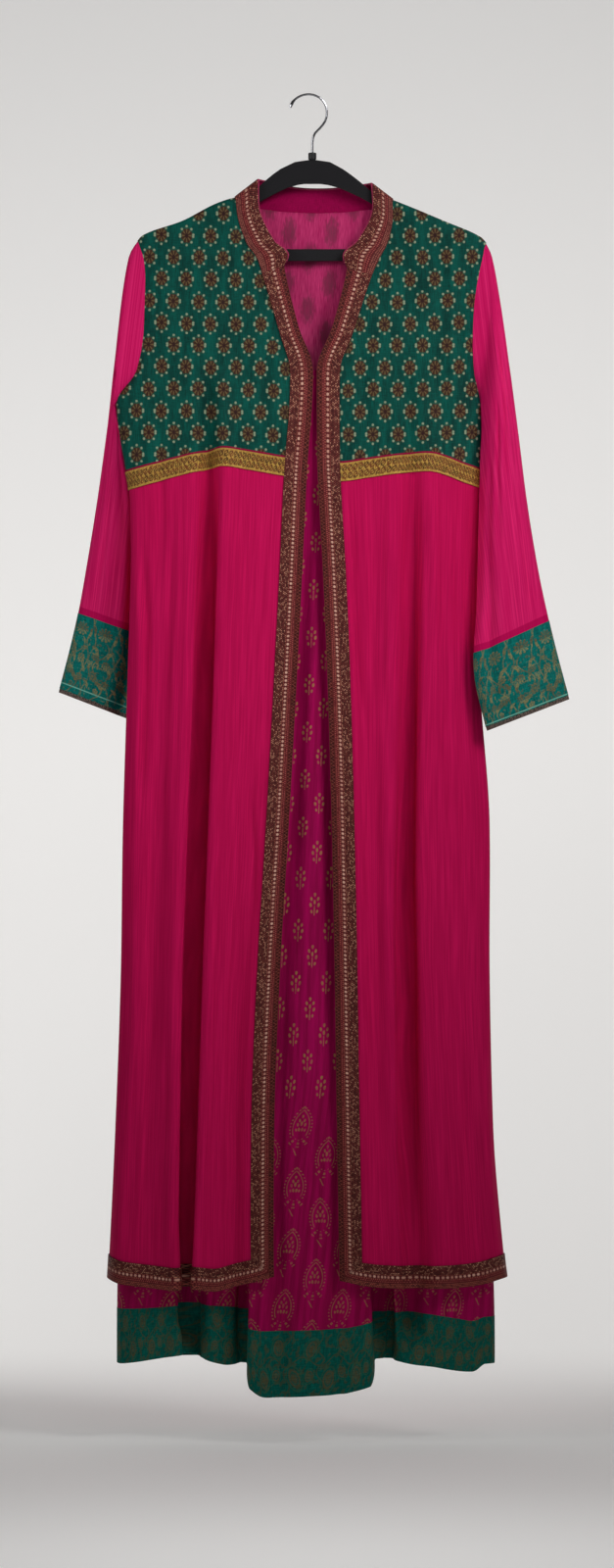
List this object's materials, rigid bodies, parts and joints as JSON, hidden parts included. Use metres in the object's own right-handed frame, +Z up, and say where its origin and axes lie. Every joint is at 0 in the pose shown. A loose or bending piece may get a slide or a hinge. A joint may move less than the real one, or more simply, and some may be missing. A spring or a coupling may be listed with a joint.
{
  "type": "kaftan",
  "caption": "Full-length two-layer kaftan, an embroidered open-front coat over an attached inner dress, with brocade yoke and cuffs, hanging on a slim hanger with a wire hook.",
  "frame": {"origin": "inside of the top of the hook, where a rail touches it", "axes": "+Z up, the garment's front faces -Y, the wearer's right is at -X"},
  "size_m": [0.6555, 0.1565, 1.6644],
  "materials": {
    "brocade": "woven, slightly lustrous",
    "chiffon": "fine crinkle, matt",
    "sleeve_chiffon": "fine crinkle, semi-sheer",
    "cuff_brocade": "woven, slightly lustrous",
    "lace": "metallic thread",
    "collar_lining": "matt",
    "ribbon": "embroidered, metallic thread",
    "gold_strip": "metallic thread",
    "gold_band": "metallic thread",
    "inner_chiffon": "matt with gold print",
    "hem_brocade": "woven, slightly lustrous",
    "flocking": "velvet flock",
    "socket": "matt",
    "hook_wire": "polished"
  },
  "bodies": {
    "root": {"front_yoke_right": "brocade", "front_yoke_left": "brocade", "back_yoke": "brocade", "front_skirt_right": "chiffon", "front_skirt_left": "chiffon", "back_skirt": "chiffon", "sleeve_right": "sleeve_chiffon", "sleeve_left": "sleeve_chiffon", "cuff_right": "cuff_brocade", "cuff_left": "cuff_brocade", "cuff_edging_right": "lace", "cuff_edging_left": "lace", "collar": "collar_lining", "collar_ribbon": "ribbon", "front_ribbon_right": "ribbon", "front_ribbon_left": "ribbon", "edge_strip_right": "gold_strip", "edge_strip_left": "gold_strip", "hem_ribbon_right": "ribbon", "hem_ribbon_left": "ribbon", "hem_ribbon_back": "ribbon", "yoke_band_right": "gold_band", "yoke_band_left": "gold_band", "yoke_band_back": "gold_band", "inner_front": "inner_chiffon", "inner_back": "inner_chiffon", "inner_hem_front": "hem_brocade", "inner_hem_back": "hem_brocade", "hanger": "flocking", "hook_socket": "socket", "hook": "hook_wire"}
  },
  "joints": []
}
